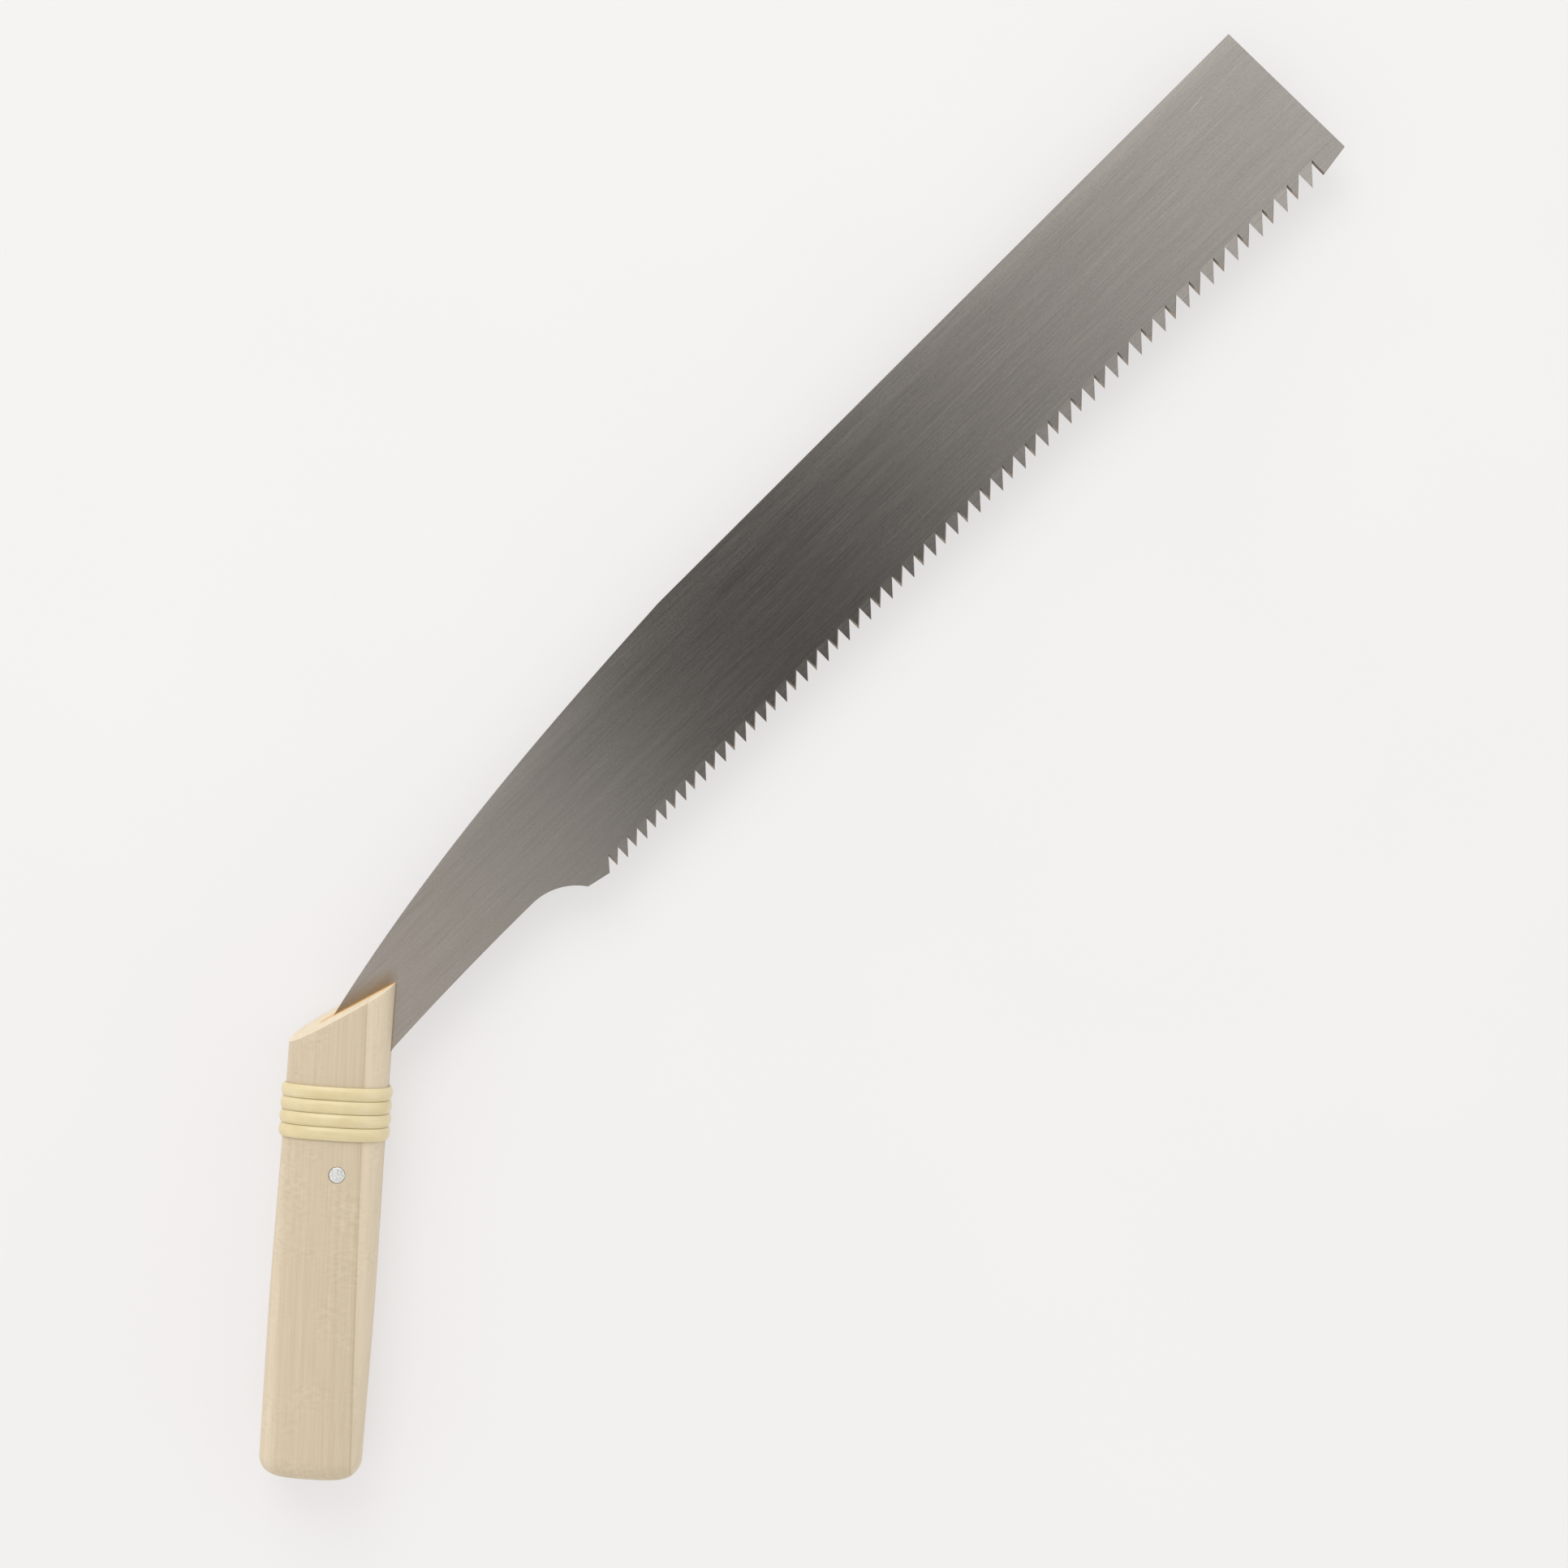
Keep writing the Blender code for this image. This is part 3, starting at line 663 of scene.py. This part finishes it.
def makeGrip():
    piece = finishMesh("woodenGrip", gripBody(), bareWood())
    seat = rivetShape["seatRadius"]
    seatFloor = rivetTop() - rivetShape["headThickness"] - rivetShape["seatGap"]
    clear = 30 * mm
    cutters = [
        subtract(piece, kerfBlock(), "kerfCutter"),
        subtract(piece, roundBlock(seat, seatFloor, clear), "upperSeatCutter"),
        subtract(piece, roundBlock(seat, -clear, -seatFloor), "lowerSeatCutter"),
    ]
    plain(piece)
    for cutter in cutters:
        bpy.data.objects.remove(cutter)
    softenEdges(piece)
    piece.data.shade_smooth()
    piece.data.set_sharp_from_angle(angle=radians(gripShape["sharpOver"]))
    cut = piece.data.attributes.new("sawnCut", "FLOAT", "FACE")
    endNormal = gripEndNormal()
    for face, mark in zip(piece.data.polygons, cut.data):
        inKerf = abs(face.center.z) < 1 * mm and abs(face.normal.z) > 0.99
        mark.value = 1.0 if inKerf or face.normal.dot(endNormal) > 0.99 else 0.0
    place(piece, gripMatrix)
    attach(piece, "root")
    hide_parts("handle")
    print("grip:", len(piece.data.polygons), "faces")


# Rivet: two halves of light metal, pressed together through the tang

rivetShape = {
    "headRadius": 2.40 * mm,
    "headThickness": 1.2 * mm,
    "crown": 0.02 * mm,
    "chamfer": 0.28 * mm,
    "chamferSteps": 6,
    "seatRadius": 2.50 * mm,
    "seatGap": 0.1 * mm,
    "tubeRadius": 2.0 * mm,
    "tubeEnd": 0.2 * mm,
    "metal": "eae9e7",
    "dimple": "c2c2bf",
    "dentScale": 1400.0,
    "aroundSteps": 96,
}


def rivetTop():
    halfWidth, halfThickness = gripHalves(gripFrame["rivetAlong"])
    share = abs(gripFrame["rivetAcross"] / halfWidth) ** gripShape["power"]
    return halfThickness * (1 - share) ** (1 / gripShape["power"])


def rivetMetal():
    # Tumbled soft metal: bright, but dulled by small dents some 0.7 mm apart
    made, tree = newMaterial("tumbledRivetMetal")
    look = rivetShape
    spot = addNode(tree, "ShaderNodeTexCoord")
    dents = addNode(
        tree, "ShaderNodeTexNoise", at0=(spot, "Object"), Scale=look["dentScale"], Detail=3.0, Roughness=0.6
    )
    patches = addNode(tree, "ShaderNodeValToRGB", at0=(dents, 0))
    patches.color_ramp.elements[0].position = 0.34
    patches.color_ramp.elements[0].color = srgb(look["dimple"])
    patches.color_ramp.elements[1].position = 0.55
    patches.color_ramp.elements[1].color = srgb(look["metal"])
    relief = addNode(tree, "ShaderNodeBump", Strength=0.5, Distance=0.05 * mm, Height=(dents, 0))
    shader = addNode(
        tree, "ShaderNodeBsdfPrincipled",
        Base_Color=(patches, 0), Metallic=1.0, Roughness=0.42, Normal=(relief, 0),
    )
    closeMaterial(tree, shader)
    return made


def turned(profile, steps):
    bm = bmesh.new()
    rings = []
    for radius, height in profile:
        if radius == 0:
            rings.append([bm.verts.new((0, 0, height))])
        else:
            turns = [2 * pi * i / steps for i in range(steps)]
            rings.append([bm.verts.new((radius * cos(a), radius * sin(a), height)) for a in turns])
    for first, second in zip(rings, rings[1:]):
        for i in range(steps):
            corners = [first[i % len(first)], first[(i + 1) % len(first)]]
            corners += [second[(i + 1) % len(second)], second[i % len(second)]]
            bm.faces.new(dict.fromkeys(corners))
    bmesh.ops.recalc_face_normals(bm, faces=bm.faces)
    return bm


def rivetProfile():
    # Radius and height of one half, from the middle of its head to its inner end
    shape = rivetShape
    top = rivetTop()
    edge = top - shape["crown"]
    face = shape["headRadius"] - shape["chamfer"]
    under = top - shape["headThickness"]
    profile = [(0, top), (face, edge)]
    for k in range(1, shape["chamferSteps"] + 1):
        a = pi / 2 * k / shape["chamferSteps"]
        profile.append((face + shape["chamfer"] * sin(a), edge - shape["chamfer"] * (1 - cos(a))))
    profile += [(shape["headRadius"], under), (shape["tubeRadius"], under)]
    profile += [(shape["tubeRadius"], shape["tubeEnd"]), (0, shape["tubeEnd"])]
    return profile


def makeRivet():
    metal = rivetMetal()
    for name, node, side in (("rivetUpperHalf", "rivet_tube", 1), ("rivetLowerHalf", "rivet_pin", -1)):
        bm = turned([(r, z * side) for r, z in rivetProfile()], rivetShape["aroundSteps"])
        piece = finishMesh(name, bm, metal, smoothUnder=35)
        place(piece, Matrix.Translation(rivetPlace))
        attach(piece, "root")
        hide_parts(node)
    print("rivet: two halves")


# Binding: one smooth crowned cord, wound four times

cordShape = {
    "turns": 4,
    "pitch": 4.0 * mm,
    "upperStep": 0.2,
    "width": 3.98 * mm,
    "thickness": 1.3 * mm,
    "crownSpread": 2.0,
    "crownFullness": 0.72,
    "pressedShare": 0.4,
    "stationsPerTurn": 120,
    "profileSteps": 36,
    "cord": "d2c49e",
    "cordShade": "cdbc91",
    "patchScale": 150.0,  # patches about 7 mm across
    "turnLength": 94 * mm,
    "streakWidth": 0.3 * mm,
    "streakLength": 9 * mm,
    "streakTone": (0.94, 1.04),
}


def cordPlastic():
    # Drawn plastic: smooth and satin, a little clear, with only a faint change of tone along it
    made, tree = newMaterial("drawnPlasticCord")
    look = cordShape
    spot = addNode(tree, "ShaderNodeTexCoord")
    patches = addNode(
        tree, "ShaderNodeTexNoise", at0=(spot, "Object"), Scale=look["patchScale"], Detail=3.0
    )
    tone = addNode(tree, "ShaderNodeValToRGB", at0=(patches, 0))
    tone.color_ramp.elements[0].position = 0.3
    tone.color_ramp.elements[0].color = srgb(look["cordShade"])
    tone.color_ramp.elements[1].position = 0.7
    tone.color_ramp.elements[1].color = srgb(look["cord"])
    # Streaks that the drawing die leaves along the cord, drawn coarser than real so that they show
    dark, pale = look["streakTone"]
    across = addNode(tree, "ShaderNodeAttribute", {"attribute_name": "acrossCord"})
    along = addNode(tree, "ShaderNodeAttribute", {"attribute_name": "turnsDone"})
    laid = addNode(tree, "ShaderNodeCombineXYZ", at0=(across, "Fac"), at1=(along, "Fac"))
    streakLay = addNode(
        tree, "ShaderNodeMapping", at0=(laid, 0),
        at3=(look["width"] / 2 / look["streakWidth"], look["turnLength"] / look["streakLength"], 1),
    )
    streaks = addNode(tree, "ShaderNodeTexNoise", at0=(streakLay, 0), Scale=1.0, Detail=3.0, Roughness=0.6)
    streakTone = addNode(
        tree, "ShaderNodeMapRange", at0=(streaks, 0), at1=0.3, at2=0.7, at3=dark, at4=pale
    )
    streaked = addNode(tree, "ShaderNodeMix", tint, at0=1.0, at6=(tone, 0), at7=(streakTone, 0))
    relief = addNode(tree, "ShaderNodeBump", Strength=0.15, Distance=0.03 * mm, Height=(streaks, 0))
    shader = addNode(
        tree, "ShaderNodeBsdfPrincipled",
        Base_Color=(streaked, 2), Roughness=0.33, IOR=1.5, Normal=(relief, 0),
        Subsurface_Weight=0.3, Subsurface_Scale=0.9 * mm, Subsurface_Radius=(1.0, 0.75, 0.4),
    )
    closeMaterial(tree, shader)
    return made


def cordSizes(tree):
    face = tree.interface
    for name, kind, value in (
        ("Turns", "NodeSocketFloat", cordShape["turns"]),
        ("Pitch", "NodeSocketFloat", cordShape["pitch"]),
        ("Upper step", "NodeSocketFloat", cordShape["upperStep"]),
        ("Half width", "NodeSocketFloat", gripShape["width"] / 2),
        ("Half thickness", "NodeSocketFloat", gripShape["thickness"] / 2),
        ("Oval power", "NodeSocketFloat", gripShape["power"]),
        ("Cord width", "NodeSocketFloat", cordShape["width"]),
        ("Cord thickness", "NodeSocketFloat", cordShape["thickness"]),
        ("Crown spread", "NodeSocketFloat", cordShape["crownSpread"]),
        ("Crown fullness", "NodeSocketFloat", cordShape["crownFullness"]),
        ("Pressed share", "NodeSocketFloat", cordShape["pressedShare"]),
        ("Stations", "NodeSocketInt", cordShape["turns"] * cordShape["stationsPerTurn"] + 1),
    ):
        socket = face.new_socket(name, in_out="INPUT", socket_type=kind)
        socket.default_value = value
    face.new_socket("Geometry", in_out="OUTPUT", socket_type="NodeSocketGeometry")
    return addNode(tree, "NodeGroupInput")


def cordRoute(tree, sizes, turnsDone):
    # Angle round the grip, from the middle of its lower side
    angle = addNode(tree, "ShaderNodeMath", multiplyAdd, at0=(turnsDone, 0), at1=2 * pi, at2=-pi / 2)
    root = addNode(tree, "ShaderNodeMath", {"operation": "DIVIDE"}, at0=2.0, at1=(sizes, "Oval power"))
    sides = []
    for operation, half in (("COSINE", "Half width"), ("SINE", "Half thickness")):
        wave = addNode(tree, "ShaderNodeMath", {"operation": operation}, at0=(angle, 0))
        size = addNode(tree, "ShaderNodeMath", absolute, at0=(wave, 0))
        fuller = addNode(tree, "ShaderNodeMath", toPower, at0=(size, 0), at1=(root, 0))
        sign = addNode(tree, "ShaderNodeMath", {"operation": "SIGN"}, at0=(wave, 0))
        signed = addNode(tree, "ShaderNodeMath", multiply, at0=(fuller, 0), at1=(sign, 0))
        sides.append(addNode(tree, "ShaderNodeMath", multiply, at0=(signed, 0), at1=(sizes, half)))
    # The cord lies nearly square above, and steps on to the next turn underneath
    shifted = addNode(tree, "ShaderNodeMath", {"operation": "ADD"}, at0=(turnsDone, 0), at1=0.5)
    whole = addNode(tree, "ShaderNodeMath", {"operation": "FLOOR"}, at0=(shifted, 0))
    part = addNode(tree, "ShaderNodeMath", {"operation": "FRACT"}, at0=(shifted, 0))
    step = addNode(tree, "ShaderNodeMapRange", smoothStep, at0=(part, 0), at1=0.25, at2=0.75)
    gentle = addNode(tree, "ShaderNodeMath", multiply, at0=(part, 0), at1=(sizes, "Upper step"))
    rest = addNode(tree, "ShaderNodeMath", minus, at0=1.0, at1=(sizes, "Upper step"))
    share = addNode(tree, "ShaderNodeMath", multiplyAdd, at0=(step, 0), at1=(rest, 0), at2=(gentle, 0))
    bands = addNode(tree, "ShaderNodeMath", {"operation": "ADD"}, at0=(whole, 0), at1=(share, 0))
    firstBand = addNode(tree, "ShaderNodeMath", multiplyAdd, at0=(sizes, "Turns"), at1=0.5, at2=0.5)
    centred = addNode(tree, "ShaderNodeMath", minus, at0=(bands, 0), at1=(firstBand, 0))
    along = addNode(tree, "ShaderNodeMath", multiply, at0=(centred, 0), at1=(sizes, "Pitch"))
    # The grip's axis is Z here, so that Z Up normals point out of the oval
    return addNode(tree, "ShaderNodeCombineXYZ", at0=(sides[0], 0), at1=(sides[1], 0), at2=(along, 0))


def cordProfile(tree, sizes):
    # Crowned profile, flat on the wood; its X is the cord's height and its Y the width
    circle = addNode(tree, "GeometryNodeCurvePrimitiveCircle", at0=cordShape["profileSteps"], Radius=1.0)
    at = addNode(tree, "GeometryNodeInputPosition")
    axes = addNode(tree, "ShaderNodeSeparateXYZ", at0=(at, 0))
    offMiddle = addNode(tree, "ShaderNodeMath", absolute, at0=(axes, 1))
    sideways = addNode(tree, "ShaderNodeMath", toPower, at0=(offMiddle, 0), at1=(sizes, "Crown spread"))
    left = addNode(tree, "ShaderNodeMath", minus, at0=1.0, at1=(sideways, 0))
    kept = addNode(tree, "ShaderNodeMath", {"operation": "MAXIMUM"}, at0=(left, 0), at1=0.0)
    crown = addNode(tree, "ShaderNodeMath", toPower, at0=(kept, 0), at1=(sizes, "Crown fullness"))
    # The turns press on each other, so their sides stand upright up to this share of the thickness
    crownShare = addNode(tree, "ShaderNodeMath", minus, at0=1.0, at1=(sizes, "Pressed share"))
    pressed = addNode(
        tree, "ShaderNodeMath", multiplyAdd, at0=(crown, 0), at1=(crownShare, 0),
        at2=(sizes, "Pressed share"),
    )
    upper = addNode(tree, "ShaderNodeMath", {"operation": "GREATER_THAN"}, at0=(axes, 0), at1=0.01)
    raised = addNode(tree, "ShaderNodeMath", multiply, at0=(pressed, 0), at1=(upper, 0))
    lifted = addNode(tree, "ShaderNodeMath", multiply, at0=(raised, 0), at1=(sizes, "Cord thickness"))
    halfWidth = addNode(tree, "ShaderNodeMath", multiply, at0=(sizes, "Cord width"), at1=0.5)
    flatWidth = addNode(tree, "ShaderNodeMath", multiply, at0=(axes, 1), at1=(halfWidth, 0))
    spot = addNode(tree, "ShaderNodeCombineXYZ", at0=(lifted, 0), at1=(flatWidth, 0))
    marked = addNode(
        tree, "GeometryNodeStoreNamedAttribute", {"data_type": "FLOAT"}, Geometry=(circle, 0),
        Name="acrossCord", Value=(axes, 1),
    )
    return addNode(tree, "GeometryNodeSetPosition", Geometry=(marked, 0), Position=(spot, 0))


def cordTree(material):
    tree = bpy.data.node_groups.new("woundCord", "GeometryNodeTree")
    sizes = cordSizes(tree)
    line = addNode(tree, "GeometryNodeCurvePrimitiveLine", End=(1.0, 0.0, 0.0))
    dense = addNode(tree, "GeometryNodeResampleCurve", Curve=(line, 0), Count=(sizes, "Stations"))
    done = addNode(tree, "GeometryNodeSplineParameter")
    turnsDone = addNode(tree, "ShaderNodeMath", multiply, at0=(done, "Factor"), at1=(sizes, "Turns"))
    counted = addNode(
        tree, "GeometryNodeStoreNamedAttribute", {"data_type": "FLOAT"}, Geometry=(dense, 0),
        Name="turnsDone", Value=(turnsDone, 0),
    )
    spot = cordRoute(tree, sizes, turnsDone)
    wound = addNode(tree, "GeometryNodeSetPosition", Geometry=(counted, 0), Position=(spot, 0))
    upright = addNode(tree, "GeometryNodeSetCurveNormal", {"mode": "Z_UP"}, Curve=(wound, 0))
    profile = cordProfile(tree, sizes)
    swept = addNode(
        tree, "GeometryNodeCurveToMesh", Curve=(upright, 0), Profile_Curve=(profile, 0), Fill_Caps=True
    )
    real = addNode(tree, "GeometryNodeRealizeInstances", Geometry=(swept, 0))
    smooth = addNode(tree, "GeometryNodeSetShadeSmooth", Geometry=(real, 0))
    finished = addNode(tree, "GeometryNodeSetMaterial", Geometry=(smooth, 0), Material=material)
    addNode(tree, "NodeGroupOutput", at0=(finished, 0))
    return tree


def makeBinding():
    material = cordPlastic()
    seed = bpy.data.meshes.new("cordBinding")
    piece = bpy.data.objects.new("cordBinding", seed)
    scene.collection.objects.link(piece)
    tree = cordTree(material)
    wind = piece.modifiers.new("wind", "NODES")
    wind.node_group = tree
    for item in tree.interface.items_tree:
        if item.in_out == "INPUT":
            wind[item.identifier] = item.default_value
    plain(piece)
    # Z was the grip's axis while the cord was wound
    lay = Matrix(((0, 0, 1, 0), (1, 0, 0, 0), (0, 1, 0, 0), (0, 0, 0, 1)))
    place(piece, gripMatrix @ lay)
    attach(piece, "root")
    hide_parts("cord_binding")
    print("binding:", len(piece.data.polygons), "faces")


# Floor, light and camera

studio = {
    "paper": "8a8888",
    "paperShade": "868383",
    "paperGlow": 0.575,  # keeps the shadows on the paper faint
    "glowTint": (1.0, 0.985, 0.98, 1.0),
    "floorReach": 40.0,
    "cameraHeight": 1.010,
    "frameWidth": 471.2 * mm,
    "frameTurn": -44.36,
    "sensorWidth": 36,
    "aim": (0.25 * mm, -4.99 * mm),
    # Brightness against the angle from straight overhead, towards the toe
    "skyReach": 45,
    "skyStops": (
        (-45, 1.0), (-20, 0.99), (-8, 0.98), (-6.4, 0.92), (-5, 0.69), (-3.4, 0.77), (-1.6, 0.35),
        (-0.4, 0.03), (3.0, 0.02), (4.6, 0.16), (6, 0.32), (9, 0.58), (12.5, 0.9), (25, 0.98), (45, 1.0),
    ),
    "overGrip": (1.0, 0.99, 0.955),
    "overGripAngles": (-30, -6),
    "overToe": (0.985, 1.025, 1.045),
    "overToeAngles": (-6, 30),
    "skyStrength": 1.0,
    "horizonBoost": 1.6,
    "boostEnd": 0.75,
    "keyPower": 31.0,
    "keySize": 1.8,
    "keyPlace": (0.78, 1.73, 1.9),
}


def makeFloor():
    # Matt paper: no gloss, and a faint unevenness of tone
    bm = bmesh.new()
    bmesh.ops.create_grid(bm, x_segments=1, y_segments=1, size=studio["floorReach"])
    made, tree = newMaterial("palePaperSweep")
    spot = addNode(tree, "ShaderNodeTexCoord")
    fibre = addNode(tree, "ShaderNodeTexNoise", at0=(spot, "Object"), Scale=9.0, Detail=2.0)
    tone = addNode(
        tree, "ShaderNodeMix", blend, at0=(fibre, 0), at6=srgb(studio["paper"]),
        at7=srgb(studio["paperShade"]),
    )
    shader = addNode(
        tree, "ShaderNodeBsdfPrincipled", Base_Color=(tone, 2), Roughness=0.9,
        Emission_Color=studio["glowTint"], Emission_Strength=studio["paperGlow"],
    )
    closeMaterial(tree, shader)
    floor = finishMesh("studioFloor", bm, made)


def skyTint(angle):
    # A little warmer light over the grip, and a little cooler over the toe
    for tintName, anglesName in (("overGrip", "overGripAngles"), ("overToe", "overToeAngles")):
        low, high = studio[anglesName]
        if low < angle < high:
            return studio[tintName]
    return 1, 1, 1


def makeSky():
    # A white tent, with a dark gap overhead where the camera stands
    world = bpy.data.worlds.new("whiteTent")
    scene.world = world
    world.use_nodes = True
    tree = world.node_tree
    tree.nodes.clear()
    reach = studio["skyReach"]
    spot = addNode(tree, "ShaderNodeTexCoord")
    way = addNode(tree, "ShaderNodeSeparateXYZ", at0=(spot, "Generated"))
    lean = addNode(tree, "ShaderNodeMath", {"operation": "ARCTAN2"}, at0=(way, 0), at1=(way, 2))
    spread = addNode(
        tree, "ShaderNodeMapRange", at0=(lean, 0), at1=radians(-reach), at2=radians(reach), at3=0.0, at4=1.0
    )
    ramp = addNode(tree, "ShaderNodeValToRGB", at0=(spread, 0))
    elements = ramp.color_ramp.elements
    elements.remove(elements[1])
    for i, (angle, value) in enumerate(studio["skyStops"]):
        share = (angle + reach) / (2 * reach)
        element = elements[0] if i == 0 else elements.new(share)
        element.position = share
        element.color = (*(value * part for part in skyTint(angle)), 1)
    rise = addNode(
        tree, "ShaderNodeMapRange", at0=(way, 2), at1=0.0, at2=studio["boostEnd"],
        at3=studio["horizonBoost"], at4=1.0,
    )
    strength = addNode(tree, "ShaderNodeMath", multiply, at0=(rise, 0), at1=studio["skyStrength"])
    light = addNode(tree, "ShaderNodeBackground", Color=(ramp, 0), Strength=(strength, 0))
    addNode(tree, "ShaderNodeOutputWorld", at0=(light, 0))


def makeKeyLight():
    data = bpy.data.lights.new("softKey", "AREA")
    data.shape, data.size, data.energy = "SQUARE", studio["keySize"], studio["keyPower"]
    lamp = bpy.data.objects.new("softKey", data)
    scene.collection.objects.link(lamp)
    lamp.location = studio["keyPlace"]
    lamp.rotation_euler = (-lamp.location).to_track_quat("-Z", "Y").to_euler()
    lamp.visible_camera = False


def makeCamera():
    low, high = cadBox
    centre = (low + high) / 2
    aimX, aimY = studio["aim"]
    data = bpy.data.cameras.new("camera")
    camera = bpy.data.objects.new("camera", data)
    scene.collection.objects.link(camera)
    data.sensor_width = studio["sensorWidth"]
    data.lens = data.sensor_width * studio["cameraHeight"] / studio["frameWidth"]
    camera.location = (centre.x + aimX, centre.y + aimY, plateMiddle + studio["cameraHeight"])
    camera.rotation_euler = (0, 0, radians(studio["frameTurn"]))
    scene.camera = camera


makePlate()
makeGrip()
makeRivet()
makeBinding()
makeFloor()
makeSky()
makeKeyLight()
makeCamera()
